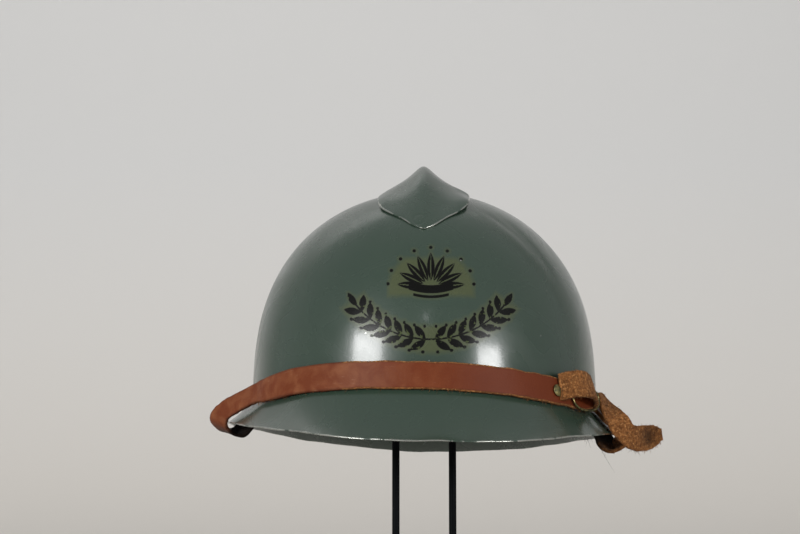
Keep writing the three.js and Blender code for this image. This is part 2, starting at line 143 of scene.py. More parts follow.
# %% Bowl sizes and shape
STAND = 125.0
HALF_WIDTH, FRONT, REAR = 101.0, 113.0, 116.0
RISE, FOOT, SKIRT, FULLNESS = 126.0, STAND + 24.4, 3.0, 2.69
STEEL = 0.8
VENT = (7.0, 34.0)
# A dent has a turn, a share of the way out, a radius and a depth as shares of the half width. A crease has
# two ends over the rest plane, a half width and a depth. The unevenness is a depth in mm.
UNEVENNESS = 0.05
DENTS = [(42, 0.66, 0.24, 0.008), (66, 0.8, 0.2, 0.006), (-35, 0.62, 0.16, 0.005)]
CREASES = [((36, -56, 133), (62, -62, 104), 3.6, 0.4), ((46, -52, 130), (72, -60, 92), 4.5, 0.45)]


def oval(turn, half_width, front, rear, height):
    """A point at an angle of turn on an oval whose front and rear halves have their own lengths."""
    angle = np.radians(turn)
    length = np.where(np.cos(angle) > 0, front, rear)
    parts = np.broadcast_arrays(half_width * np.sin(angle), -length * np.cos(angle), height)
    return np.stack(parts, axis=-1).astype(float)


def bowl_height(x, y, inset=0.0):
    """Foot plus rise times (1 - reach) to the power 1 / fullness, where reach is the sum of the squares of
    x over the half width and y over the length."""
    length = np.where(y < 0, FRONT, REAR) - inset
    reach = (x / (HALF_WIDTH - inset)) ** 2 + (y / length) ** 2
    return FOOT + (RISE - inset) * np.maximum(0, 1 - reach) ** (1 / FULLNESS)


def dented(points):
    """Dents push a point towards the middle of the foot by a bell curve of its distance. Creases do so by
    the distance from the plane through their two ends, and fade beyond those. The press's unevenness is a
    product of two slow waves."""
    inwards = -unit(points - [0, 0, FOOT])
    moved = points.copy()
    for turn, reach, radius, depth in DENTS:
        centre = oval(turn, HALF_WIDTH * reach, FRONT * reach, REAR * reach, 0)
        centre[2] = bowl_height(centre[0], centre[1])
        away = np.linalg.norm(points - centre, axis=-1) / (radius * HALF_WIDTH)
        moved += inwards * (depth * HALF_WIDTH * np.exp(-away * away))[..., None]
    for first, last, half_width, depth in CREASES:
        first, last = (np.array(end, float) + [0, 0, STAND] for end in (first, last))
        out = unit((first + last) / 2 - [0, 0, FOOT])
        beside = (points - first) @ unit(np.cross(last - first, out)) / half_width
        along = 2 * ((points - first) @ (last - first)) / ((last - first) @ (last - first)) - 1
        fade = np.exp(-beside ** 2 - along ** 4) * ((points - [0, 0, FOOT]) @ out > 0)
        moved += inwards * (depth * fade)[..., None]
    x, y, z = np.moveaxis(points, -1, 0)
    wave = np.sin(x / 15 + np.sin(z / 21)) * np.sin(z / 13 + y / 27)
    return moved + inwards * (UNEVENNESS * wave)[..., None]


turns = np.arange(0, 360, 1.25)[:, None]
shares = spaced(1, 0, 120)[None, :]
spread = np.sqrt(1 - np.cos(shares * np.pi / 2) ** FULLNESS)[..., None]
vent = oval(turns, *VENT, VENT[1], 0)
foot = oval(turns, HALF_WIDTH, FRONT, REAR, 0)
dome = vent + (foot - vent) * spread
dome[..., 2] = bowl_height(dome[..., 0], dome[..., 1])
skirt = oval(turns, HALF_WIDTH, FRONT, REAR, FOOT - spaced(SKIRT, 0.3, 6)[None, :])
bowl = shell("steel_bowl", np.concatenate([skirt, dented(dome)], axis=1), STEEL, True)

# %% [markdown]
# ## Brim
# Visor, sides and neck guard are one pressed ring with a collar that grips the foot of the bowl. It is a
# slightly hollow flare between two ovals. A lathe could not turn it, because its height changes on the way
# round, so height is a formula of the turn. Its cut edge was never turned over, so it waves a little and
# the paint has worn off it.

# %% Brim sizes and shape
RIM_HALF_WIDTH, RIM_FRONT, RIM_REAR, RIM_SIDE_RISE = 115.0, 143.0, 145.0, 10.8
SEAM_FRONT, SEAM_SIDE, SEAM_REAR, COLLAR = 28.5, 23.0, 27.0, 7.0
COLLAR_OUT = STEEL + 0.3
HOLLOW, LEAN, LIFTED, FILLET = 0.35, 0.026, 2.4, 2.5


def outward(turn):
    """The level direction straight out of the bowl's wall: the gradient of its oval."""
    angle = np.radians(turn)
    length = np.where(np.cos(angle) > 0, FRONT, REAR)
    x, y = np.broadcast_arrays(np.sin(angle) / HALF_WIDTH, -np.cos(angle) / length)
    return unit(np.stack([x, y, np.zeros(x.shape)], axis=-1))


def sideways(turn):
    """The level direction along the bowl's wall, towards a growing turn."""
    return np.cross([0, 0, 1.0], outward(turn))


def seam_height(turn):
    """The seam's height goes from the side's to the front's or rear's by the squared cosine of the turn."""
    along = np.cos(np.radians(turn))
    end = np.where(along > 0, SEAM_FRONT, SEAM_REAR)
    lean = LEAN * HALF_WIDTH * np.sin(np.radians(turn))
    return STAND + SEAM_SIDE + (end - SEAM_SIDE) * along * along - lean


def rim_height(turn):
    """The rim rises at the sides by the squared sine of the turn, and a bell round -88 bends it up a little."""
    across = np.sin(np.radians(turn))
    bent_up = LIFTED * np.exp(-((turn + 88) / 16) ** 2)
    return STAND + RIM_SIDE_RISE * across * across - LEAN * RIM_HALF_WIDTH * across + bent_up


def collar_point(turn, height):
    """A point of the collar: the bowl's oval moved outwards by the sheet and a small gap."""
    return oval(turn, HALF_WIDTH, FRONT, REAR, height) + outward(turn) * COLLAR_OUT


def brim_point(turn, share):
    """From the collar at share 0 to the rim at share 1, straight in plan, and in height by a drop of
    (1 + hollow) share - hollow share squared."""
    share = np.asarray(share, float)
    inner = collar_point(turn, 0)
    place = inner + (oval(turn, RIM_HALF_WIDTH, RIM_FRONT, RIM_REAR, 0) - inner) * share[..., None]
    drop = (1 + HOLLOW) * share - HOLLOW * share * share
    place[..., 2] = seam_height(turn) + (rim_height(turn) - seam_height(turn)) * drop
    return place


# The cut edge ripples by 0.3 mm in 9 waves round the rim, and by up to 0.2 mm in 23 that come and go.
turns = np.arange(0, 360, 0.9)[:, None]
flare = brim_point(turns, spaced(1, 0.1, 40)[None, :])
angle = np.radians(turns)
ripple = 0.3 * np.sin(9 * angle + 1) + 0.2 * np.sin(23 * angle) * np.cos(4 * angle)
flare[..., 2] += ripple * spaced(1, 0, 40)[None, :] ** 3
bend = np.linspace(0, 1, 9)[None, 1:-1, None]
corner, upper = collar_point(turns, seam_height(turns)), collar_point(turns, seam_height(turns) + FILLET)
fillet = flare[:, -1:] * (1 - bend) ** 2 + corner * 2 * bend * (1 - bend) + upper * bend ** 2
collar = collar_point(turns, seam_height(turns) + spaced(FILLET, COLLAR, 8)[None, :])
brim = shell("steel_brim", np.concatenate([flare, fillet, collar], axis=1), STEEL, True)

# %% [markdown]
# ## Comb
# The comb is a pressed ridge, spot-welded over the vent. In plan it is a leaf with a pointed flange at
# each end, and across it is a bell whose height grows towards the middle. A handful of sections in a table
# is easier to match to the real one than a formula, so a smooth curve is drawn through shares of its half
# width and rise.

# %% Curves through stations


def smooth_path(stations, per_span):
    """A centripetal Catmull-Rom curve: each span is the cubic whose end slopes come from its neighbours,
    weighted by the square roots of the distances between them."""
    stations = np.asarray(stations, float)
    before, after = 2 * stations[0] - stations[1], 2 * stations[-1] - stations[-2]
    full = np.concatenate([[before], stations, [after]])
    gap = np.maximum(np.linalg.norm(np.diff(full, axis=0), axis=-1), 1e-6) ** 0.5
    d0, d1, d2 = (gap[start:start + len(stations) - 1, None] for start in range(3))
    p0, p1, p2, p3 = (full[start:start + len(stations) - 1] for start in range(4))
    leave = ((p1 - p0) / d0 - (p2 - p0) / (d0 + d1) + (p2 - p1) / d1) * d1
    arrive = ((p2 - p1) / d1 - (p3 - p1) / (d1 + d2) + (p3 - p2) / d2) * d1
    t = np.linspace(0, 1, per_span, endpoint=False)[None, :, None]
    p1, p2, leave, arrive = p1[:, None], p2[:, None], leave[:, None], arrive[:, None]
    curve = p1 + leave * t + (3 * (p2 - p1) - 2 * leave - arrive) * t ** 2 + (2 * (p1 - p2) + leave + arrive) * t ** 3
    return np.concatenate([curve.reshape(-1, stations.shape[-1]), stations[-1:]])


# %% Comb sizes and shape
COMB_FRONT, COMB_REAR, COMB_HALF_WIDTH, COMB_RISE = 86.0, 85.0, 26.0, 12.5
COMB_SHEET, COMB_GAP, RIDGE_ROUND, PEAK, HOLLOW_FLANK = 1.0, 0.45, 0.2, 1.4, 1.5
LIFTED_CORNERS = [(2.0, 1, 0.17, 0.06), (1.4, -1, 0.19, 0.05), (0.9, 1, 0.3, 0.02)]  # mm, side, share, spread
WELD_X, WELD_Y, WELD_RADIUS, WELD_DEPTH, WELD_SPREAD = -2.5, -80.0, 3.2, 0.25, 0.6
COMB_SECTIONS = np.array([  # share of the length, of the half width and of the rise
    (0, 0, 0), (0.02, 0.25, 0.02), (0.05, 0.45, 0.05), (0.1, 0.76, 0.15), (0.15, 0.95, 0.32), (0.21, 1, 0.55),
    (0.3, 1, 0.85), (0.38, 0.86, 1), (0.5, 0.72, 1), (0.62, 0.82, 0.95), (0.72, 1, 0.8), (0.8, 0.98, 0.55),
    (0.87, 0.85, 0.3), (0.93, 0.55, 0.12), (0.97, 0.3, 0.04), (1, 0, 0)])

curve = smooth_path(COMB_SECTIONS, 12)
share = spaced(0, 1, 220)
width = COMB_HALF_WIDTH * np.interp(share, curve[:, 0], curve[:, 1])[:, None]
rise = COMB_RISE * np.interp(share, curve[:, 0], curve[:, 2])[:, None]
side = spaced(1, -1, 71)[None, :]
round_top = np.sqrt(1 + RIDGE_ROUND ** 2)
bell = (round_top - np.sqrt(side ** 2 + RIDGE_ROUND ** 2)) / (round_top - RIDGE_ROUND)
x = side * width
y = -COMB_FRONT + (COMB_FRONT + COMB_REAR) * share[:, None] + 0 * x
share = share[:, None]
lifted = [height * np.exp(-((side - edge) / 0.35) ** 2 - ((share - at) / spread) ** 2)
          for height, edge, at, spread in LIFTED_CORNERS]
peak = (PEAK * np.exp(-(side / 0.2) ** 2) - HOLLOW_FLANK * np.sin(np.pi * np.abs(side)) ** 2) * np.sin(np.pi * share)
weld = -WELD_DEPTH * np.exp(-((np.hypot(x - WELD_X, y - WELD_Y) - WELD_RADIUS) / WELD_SPREAD) ** 2)
z = bowl_height(x, y) + COMB_GAP + rise * bell + COMB_SHEET + sum(lifted) + peak + weld
thin = np.minimum(1, np.minimum(share, 1 - share) / 0.004)[..., None]
comb = shell("steel_comb", np.stack([x, y, z], axis=-1), COMB_SHEET * thin, False)

# %% [markdown]
# ## Chin strap
# Two lengths of 15 mm leather are held inside the bowl and come out under the rim. The long one lies over
# the visor, and its end is folded back round a wire ring. The short one crosses the brim behind the ring
# and ends in a loose tail. Cloth simulation would settle it anew each time, so each is a flat section
# carried along a path. The path's stations give the middle of the strap and the way its width lies, and the
# section turns with them.

# %% Places on the helmet
STRAP_WIDTH, STRAP_THICKNESS, STRAP_GAP = 15.0, 2.2, 0.55
SEAT = STRAP_GAP + STRAP_THICKNESS / 2
LEFT_TURN, RIGHT_TURN = -78.0, 68.0
BRACKET_HEIGHT, BRACKET_DEPTH = 16.0, 2.1
STRAP_LINE = np.array([  # turn, lift in widths, distance off its seat in thicknesses
    (-56, 0.2, 0.1), (-43, 0.37, 0), (-23, 0.43, 0),
    (-7, 0.41, 0), (8, 0.41, 0), (24, 0.37, 0), (34, 0.31, 0), (43, 0.25, 0)])


def strap_on_helmet(turn, lift, out):
    """Middle and width of the strap where both its edges touch the brim, lift widths above the seam. The
    drop of each edge is turned back into the brim's share by its quadratic."""
    middle = seam_height(turn) + lift * STRAP_WIDTH

    def edge(height):
        drop = max(0, (seam_height(turn) - height) / (seam_height(turn) - rim_height(turn)))
        share = (1 + HOLLOW - np.sqrt((1 + HOLLOW) ** 2 - 4 * HOLLOW * drop)) / (2 * HOLLOW)
        place = brim_point(turn, share) + outward(turn) * (SEAT + out)
        place[2] = height
        return place

    top, bottom = edge(middle + STRAP_WIDTH / 2), edge(middle - STRAP_WIDTH / 2)
    return (top + bottom) / 2, unit(top - bottom)


def beside_rim(turn, out, rise, tip, flare):
    """A station beside the rim, out and up by shares of the width; tip turns the width up, flare outwards."""
    centre = brim_point(turn, 1) + outward(turn) * out * STRAP_WIDTH + [0, 0, rise * STRAP_WIDTH]
    across = unit(sideways(turn) * np.sign(turn) * (1 - tip) + np.array([0, 0, tip]) + outward(turn) * flare)
    return centre, across


def across_brim(turn, share):
    """A station where the strap lies flat on the brim and runs outwards."""
    facing = unit(np.cross(brim_point(turn, 1) - brim_point(turn, 0), sideways(turn)))
    return brim_point(turn, share) + facing * (SEAT + STRAP_GAP), sideways(turn) * np.sign(turn)


def inside_bowl(turn, height):
    """A station against the bracket inside the bowl."""
    inset = STEEL + BRACKET_DEPTH + SEAT
    return oval(turn, HALF_WIDTH, FRONT, REAR, FOOT + height) - outward(turn) * inset, sideways(turn) * np.sign(turn)


def lift_at(turn):
    """The strap's lift at a turn, in straight lines between the rows of STRAP_LINE."""
    return np.interp(turn, STRAP_LINE[:, 0], STRAP_LINE[:, 1])


def from_bracket(turn, over_rim):
    """The stations inside the bowl, downwards from the bracket, and then those round the rim."""
    inside = [inside_bowl(turn, height) for height in (BRACKET_HEIGHT, BRACKET_HEIGHT / 4, -SKIRT)]
    return inside + [beside_rim(*row) for row in over_rim]


# %% Stations of both straps
# Columns: FOLD_LINE has along, depth, lift, tilt. The rims have turn, out, rise, tip, flare. TAIL_LINE has
# right, back, rise and width, and then the three parts of the direction of the width.
FOLD_TURNS, FOLD_DEPTH, TAIL_REACH = (43.5, 57.5), 6.4, 37.0
FOLD_LINE = [(0.55, 0, -0.05, 0), (0.92, 0.06, -0.04, 0), (1.1, 0.5, 0.04, 0.1), (0.98, 1.1, 0.16, 0.25),
             (0.62, 1.45, 0.34, 0.3), (0.28, 1.1, 0.3, 0.2), (0.02, 0.45, 0.17, 0.05)]
OVER_LEFT_RIM = [
    (-79, -0.6, -0.36, 0.45, 0), (-79.2, -0.2, -0.5, 0.2, 0.1), (-78.2, 0.1, -0.43, 0.08, 0.29),
    (-77.8, 0.32, -0.23, 0.15, 0.45), (-77.1, 0.38, -0.03, 0.2, 0.59), (-76.2, 0.34, 0.15, 0.28, 0.51),
    (-74.4, 0.18, 0.36, 0.35, 0.4), (-72.4, -0.06, 0.57, 0.39, 0.28), (-69.3, -0.39, 0.82, 0.42, 0.12),
    (-65.1, -0.75, 1.1, 0.51, -0.07)]
OVER_RIGHT_RIM = [
    (68, -0.42, -0.2, 0, 0.5), (68, -0.32, -0.5, 0, 0.4), (68, -0.15, -0.7, 0, 0), (68, 0.05, -0.62, 0, -0.5),
    (68, 0.22, -0.34, 0, -1.1), (68, 0.29, 0.02, 0, -0.6)]
TAIL_LINE = [
    (-0.04, 0.23, -0.2, 1, 0.35, 0.94, 0), (-0.04, 0.27, -0.02, 1, 0.3, 0.95, 0), (0.03, 0.28, 0, 1, 0.2, 0.96, 0.1),
    (0.11, 0.14, -0.18, 1, 0.4, 0.85, 0.3), (0.3, -0.07, -0.47, 1, 0.45, 0.35, 0.8),
    (0.49, -0.01, -0.65, 0.95, 0.1, 0, 1), (0.7, 0.15, -0.66, 0.95, 0, 0, 1),
    (0.87, 0.29, -0.62, 0.8, -0.08, 0, 1), (0.97, 0.35, -0.6, 0.45, -0.12, 0, 1)]
RING_HALF_LENGTH, RING_LIFT = 11.4, 1.6
RING_TURN, RING_SLANT, RING_STAND_OFF = 56.2, 0.15, 3.9

ring_seat, ring_across = strap_on_helmet(RING_TURN, lift_at(RING_TURN), 0)
ring_along = unit(sideways(RING_TURN) + RING_SLANT * outward(RING_TURN))
ring_facing = unit(np.cross(ring_along, ring_across))
ring_high = unit(np.cross(ring_facing, ring_along))
ring_middle = ring_seat + RING_STAND_OFF * outward(RING_TURN) + RING_LIFT * ring_high

long_stations = from_bracket(LEFT_TURN, OVER_LEFT_RIM)
long_stations += [strap_on_helmet(turn, lift, out * STRAP_THICKNESS) for turn, lift, out in STRAP_LINE]
for along, depth, lift, tilt in FOLD_LINE:
    turn = FOLD_TURNS[0] + (FOLD_TURNS[1] - FOLD_TURNS[0]) * along
    middle, across = strap_on_helmet(turn, lift_at(turn) + lift, depth * FOLD_DEPTH)
    long_stations.append((middle, unit(across - outward(turn) * tilt)))

short_stations = from_bracket(RIGHT_TURN, OVER_RIGHT_RIM)
short_stations += [across_brim(RIGHT_TURN, share) for share in (0.66, 0.3)]
tail_start = ring_middle + RING_HALF_LENGTH * ring_along
short_stations += [(tail_start + TAIL_REACH * np.array(row[:3]), unit(np.array(row[4:], float))) for row in TAIL_LINE]
short_widths = np.array([1.0] * (len(short_stations) - len(TAIL_LINE)) + [row[3] for row in TAIL_LINE])
print("stations:", len(long_stations), "and", len(short_stations))

# %% [markdown]
# ### The strap's section
# Cut leather has a smooth grain side, a rough flesh side and raw edges. The section is a rectangle with
# round corners. Its edges wander by a few tenths of a millimetre, as a knife leaves them, and the first
# and last rows shrink to close the ends. Faces of the flesh side and the edges take the second material.

# %% The section's edges
CORNER, RAGGED, END_ROWS = 0.8, 0.14, 5
# Painted shade: each strap is darkened up to 56 mm from its start, inside the bowl and under the rim, fading over 10
# mm, and the long strap's end under its fold fades over 8 mm.
PAINTED_SHADE_TO, PAINTED_SHADE_FADE, SHADE_FADE = 56, 10, 8
BURNISHED = 0.55  # share of the long strap whose cut edges were rubbed dark and smooth


def wander(count, spread_mm, smooth):
    """Even random steps, averaged over their neighbours and scaled back to the same spread."""
    steps = np.convolve(rng.normal(size=count + 2 * smooth), np.ones(smooth) / smooth, "same")[smooth:-smooth]
    return steps / max(steps.std(), 1e-6) * spread_mm


# %% Strap bodies
def strap(name, stations, widths, grain_outside, cups, shaded, per_span=14, face_steps=13, corner_steps=5):
    """Carries the section along the path. Facing is the tangent times the width's direction, and a point
    of the section is the centre plus its width share and its thickness share of those two. Each cup is the
    distance of its middle from the strap's end, its reach and its depth, all in mm: a bell along the strap
    times (1 - across squared) that hollows the face. Two marks carry painted shade: one fades out of the
    stretch inside the helmet and under the rim, and shaded grows towards the strap's other end. hollow_mm is
    the depth of the cups."""
    centres, across = (np.array([station[part] for station in stations]) for part in (0, 1))
    reach = across * (widths * STRAP_WIDTH / 2)[:, None]
    top, bottom = smooth_path(centres + reach, per_span), smooth_path(centres - reach, per_span)
    centre, half = (top + bottom) / 2, np.minimum(np.linalg.norm(top - bottom, axis=-1), STRAP_WIDTH) / 2
    lies = unit(top - bottom)
    tangent = unit(np.gradient(centre, axis=0))
    facing = unit(np.cross(tangent, lies))
    quarter = np.linspace(0, np.pi / 2, END_ROWS)
    beyond, shrink = np.sin(quarter)[:, None] * STRAP_THICKNESS / 2, np.cos(quarter)
    scale = np.concatenate([shrink[::-1], np.ones(len(centre)), shrink])
    pick = np.clip(np.arange(len(scale)) - END_ROWS, 0, len(centre) - 1)
    centre = np.concatenate([centre[:1] - tangent[:1] * beyond[::-1], centre, centre[-1:] + tangent[-1:] * beyond])
    half, lies, facing = half[pick], lies[pick], facing[pick]
    edges = [half + wander(len(scale), RAGGED, 5) for _ in range(2)]

    corner = np.linspace(0, np.pi / 2, corner_steps)[:-1]
    flat = np.linspace(-1, 1, face_steps)[:-1]
    face, bend = len(flat), len(corner)
    width_share = np.concatenate([flat, np.ones(2 * bend), -flat, -np.ones(2 * bend)])
    turn = np.concatenate([np.full(face, np.pi / 2), np.pi / 2 - corner, -corner,
                           np.full(face, -np.pi / 2), -np.pi / 2 - corner, -np.pi - corner])
    level = np.repeat([1.0, -1.0, 1.0], [face + bend, face + 2 * bend, bend])
    half_edge = np.where(width_share >= 0, edges[0][:, None], edges[1][:, None]) - CORNER
    a = width_share * half_edge + CORNER * np.cos(turn)
    b = (level * (STRAP_THICKNESS / 2 - CORNER) + CORNER * np.sin(turn)) * scale[:, None]
    along = np.concatenate([[0], np.cumsum(np.linalg.norm(np.diff(centre, axis=0), axis=-1))])[:, None]
    hollow = 0 * a
    for place, spread, depth in cups:
        bell = np.exp(-((along[-1] - along - place) / spread) ** 2)
        hollow = hollow + depth * bell * (1 - (a / STRAP_WIDTH * 2) ** 2)
    b = b - hollow
    points = centre[:, None] + lies[:, None] * a[..., None] + facing[:, None] * b[..., None]
    faces = grid_faces(*points.shape[:2], False, True)
    column = faces[:, 0] % points.shape[1]
    # Painted shade: dark on the stretch inside the bowl and under the rim, and on the end that lies under the long
    # strap's fold.
    painted_inner_shade = np.clip((PAINTED_SHADE_TO - along) / PAINTED_SHADE_FADE, 0, 1)
    shade = np.clip((shaded - along[-1] + along) / SHADE_FADE, 0, 1)
    marks = {"along_mm": along, "across_mm": a, "edge_mm": edges[0][:, None] - np.abs(a), "painted_shade": painted_inner_shade,
             "shaded": shade, "hollow_mm": hollow}
    outside = column < face
    inside = (column >= face + 2 * bend) & (column < 2 * face + 2 * bend)
    grain = outside if grain_outside else inside
    burnished = grain_outside & ~inside & (faces[:, 0] // points.shape[1] < BURNISHED * len(points))
    return piece(name, points, faces, marks, ~(grain | burnished)), points


# %% Both straps
# SHADED_END is the length of the long strap's end, under its fold, that gets painted shade on the grain side.
SHADED_END, TAIL_CUPS = 38, [(9, 7, 2.6), (32, 9, -0.8)]
long_strap, long_points = strap("leather_strap_long", long_stations, np.ones(len(long_stations)), True, [], SHADED_END)
short_strap, short_points = strap("leather_strap_short", short_stations, short_widths, False, TAIL_CUPS, 0)

# %% [markdown]
# ## Ring and stud
# The ring is 1.25 mm wire bent to a rounded oblong. A torus would be round, so its path is a superellipse.
# It sits a little lower and nearer the front than the CAD's ring. The stud is a turned dome with a low
# rim, so it is a profile turned round an axis and then set against the strap.

# %% Ring
WIRE_HALF_LENGTH, WIRE_HALF_HEIGHT, WIRE, SQUARENESS = 12.4, 6.9, 1.25, 2.4
WIRE_BACK, WIRE_DROP = 2.6, 3.1
wire_middle = ring_middle - WIRE_BACK * ring_along - WIRE_DROP * ring_high
angle = np.linspace(0, 2 * np.pi, 144, endpoint=False)


def squared_off(value, power):
    """The sign of a sine or cosine times its size to a power. Below 1 it makes a circle squarer."""
    return np.sign(value) * np.abs(value) ** power


wire = (wire_middle + ring_along * WIRE_HALF_LENGTH * squared_off(np.cos(angle), 2 / SQUARENESS)[:, None]
        + ring_high * WIRE_HALF_HEIGHT * squared_off(np.sin(angle), 2 / SQUARENESS)[:, None])
level = unit(np.cross(np.roll(wire, -1, 0) - np.roll(wire, 1, 0), ring_facing))
around = np.linspace(0, 2 * np.pi, 14, endpoint=False)[None, :, None]
tube = wire[:, None] + (level[:, None] * np.cos(around) + ring_facing * np.sin(around)) * WIRE / 2
ring = piece("wire_ring", tube, grid_faces(*tube.shape[:2], True, True))


# %% Stud
STUD_RADIUS, STUD_HEIGHT, STUD_TURN = 3.4, 1.1, 42.8


def turned_body(name, profile, axis, origin, steps=64):
    """A profile of (radius, height) rows turned round an axis from an origin."""
    axis = unit(np.asarray(axis, float))
    first = unit(np.cross(axis, [0.3, 0.9, 0.1]))
    second = np.cross(axis, first)
    angle = np.linspace(0, 2 * np.pi, steps, endpoint=False)[:, None, None]
    radius, height = np.array(profile, float).T[..., None]
    points = origin + (first * np.cos(angle) + second * np.sin(angle)) * radius + axis * height
    return piece(name, points, grid_faces(*points.shape[:2], True, False))


stud_seat, stud_across = strap_on_helmet(STUD_TURN, lift_at(STUD_TURN), 0)
stud_axis = outward(STUD_TURN)
stud_axis = unit(stud_axis - stud_across * (stud_axis @ stud_across))
stud_shape = [(0, 0), (1, 0), (1.0, 0.25), (0.96, 0.42), (0.88, 0.5), (0.8, 0.52), (0.72, 0.66), (0.5, 0.88),
              (0.25, 0.98), (0, 1)]
stud_shape = [(radius * STUD_RADIUS, height * STUD_HEIGHT) for radius, height in stud_shape]
stud = turned_body("brass_stud", stud_shape, stud_axis,
                   stud_seat + stud_axis * (STRAP_THICKNESS / 2 + STRAP_GAP), 48)

# %% [markdown]
# ## Loose fibres
# The raw edge of the leather sheds fine fibres, and a few threads hang where it turns under the rim. A hair
# system would not reach the exported model, so each is a thin three-sided tube that starts in the edge,
# bends under its weight and ends in a point.

# %% A bundle of fibres
SAG, FIBRE, THREAD, RAISED = 0.35, 0.2, 0.26, 0.7


def fibres(name, start, way, length, thickness):
    """Points along way times share plus a sag times share squared, with a radius that is nought at both
    ends and greatest near the start."""
    share = np.linspace(0, 1, 6)[None, :, None]
    sag = rng.normal(size=start.shape) * SAG + [0, 0, -SAG]
    line = start[:, None] + length[:, None, None] * (way[:, None] * share + sag[:, None] * share ** 2)
    first = unit(np.cross(way, [0.21, 0.34, 0.91]))
    second = np.cross(way, first)
    angle = np.arange(3) * 2 * np.pi / 3
    ring_of = first[:, None, None] * np.cos(angle)[:, None] + second[:, None, None] * np.sin(angle)[:, None]
    radius = np.array([0, 1, 0.9, 0.7, 0.5, 0])[None, :, None, None] * thickness / 2
    points = line[:, :, None] + ring_of * radius
    one = grid_faces(6, 3, False, True)
    faces = (one[None] + (np.arange(len(start)) * 18)[:, None, None]).reshape(-1, 4)
    return piece(name, points.reshape(-1, 3), faces)


def edge_starts(points, first_row, last_row, columns, count):
    """Random points of a strap's surface between two rows, with the way out of it there."""
    row = rng.integers(first_row, last_row, count)
    column = rng.choice(columns, count)
    start = points[row, column]
    return start, unit(start - points[row].mean(axis=1))


# %% Fuzz
section = long_points.shape[1]
low_edge, but_top = np.arange(section - 8, section), np.arange(12, section)
FRAYED = [(long_points, 230, 100, low_edge, 160), (long_points, 95, 6, but_top, 420),
          (short_points, 130, 4, np.arange(section), 700), (short_points, 190, 130, but_top, 200)]
starts = [edge_starts(points, len(points) - first, len(points) - last, columns, count)
          for points, first, last, columns, count in FRAYED]  # rows are counted from the strap's end
start = np.concatenate([pair[0] for pair in starts])
way = unit(np.concatenate([pair[1] for pair in starts]) + rng.normal(size=start.shape) * RAISED)
fuzz = fibres("leather_fibres", start - way * 0.15, way, rng.uniform(0.6, 1.9, len(start)), FIBRE)

# %% Threads
TURNED_ROWS, TUFT_TURNS, LONG_THREAD = (44, 50, 56, 62), np.linspace(48, 52, 9), 14.0
start = np.array([short_points[row, column] for row in TURNED_ROWS for column in rng.integers(0, section, 6)]
                 + [brim_point(turn, 0.985) + [0, 0, -0.6] for turn in TUFT_TURNS])
way = unit(np.array([0, 0, -1.0]) + rng.normal(size=start.shape) * 0.2)
length = rng.uniform(1.5, 4.0, len(start))
length[3] = LONG_THREAD
threads = fibres("loose_threads", start, way, length, THREAD)

# %% [markdown]
# ## Painted ornament
# The front carries a printed transfer: a plain palmette over a garland of leaves, which are common
# ornaments. Each is a thin film on the bowl, because a film keeps its place when the bowl is changed. Its
# drawing is a distance to the nearest leaf, dot or band, negative inside the ink. A second distance covers
# the whole ornament, and up to 1.9 mm outside that lies the yellowed varnish.

# %% Leaf and dot
FILM, VARNISH, DEEP_INK = 0.018, 1.9, -0.1


def leaf(x, z, at_x, at_z, angle, length, width):
    """Distance to a pointed leaf: across it, less its half width times (1 - along squared)."""
    dx, dz = x - at_x, z - at_z
    along = (dx * np.cos(angle) + dz * np.sin(angle)) / (length / 2) - 1
    aside = np.abs(-dx * np.sin(angle) + dz * np.cos(angle))
    inside = aside - width / 2 * (1 - along ** 2)
    return np.where(np.abs(along) <= 1, inside, np.hypot(aside, (np.abs(along) - 1) * length / 2))


def dot(x, z, at_x, at_z, radius):
    """Distance to a round dot: the way from its middle, less its radius."""
    return np.hypot(x - at_x, z - at_z) - radius


# %% Film
def film(name, x, z, distance, cover, wear):
    """Lays a grid of places, seen from the front, on the bowl. y is minus the front length times the root
    of the bowl's reach less the square of x over the half width. Only cells within the varnish's reach of
    the cover are kept, the film's back lies in the sheet, and its cut edges get sharp walls. Faces deep in
    the ink take the second material."""
    reach = 1 - ((z - FOOT) / RISE) ** FULLNESS
    y = -FRONT * np.sqrt(reach - (x / HALF_WIDTH) ** 2)
    base = dented(np.stack([x, y, z], axis=-1))
    normal = unit(np.cross(np.gradient(base, axis=0), np.gradient(base, axis=1)))
    points = np.stack([base + normal * FILM, base - normal * 2 * FILM])
    kept = cover < VARNISH
    cells = np.logical_and.reduce(corners_of(kept))
    # Where two kept cells meet at a corner alone, all four round it are kept, so that no edge is shared twice.
    first, second, third, fourth = corners_of(cells)
    alone = first & third | second & fourth
    for part in corners_of(cells):
        part |= alone
    front = np.stack(corners_of(np.arange(x.size).reshape(x.shape)), axis=-1)[cells]
    first, last = front.ravel(), np.roll(front, -1, axis=1).ravel()
    alone = ~np.isin(last * x.size + first, first * x.size + last)
    first, last = first[alone], last[alone]
    walls = np.stack([last, first, first + x.size, last + x.size], axis=-1)
    faces = np.concatenate([front, front[:, ::-1] + x.size, walls])
    marks = {"ink_mm": np.stack([distance] * 2), "cover_mm": np.stack([cover] * 2), "wear": wear, "edge_mm": 9.0}
    depth = np.concatenate([distance, distance]).ravel()[faces].mean(axis=1)
    made = piece(name, points, faces, marks, depth < DEEP_INK)
    made.data.set_sharp_from_angle(angle=1.0)
    return made


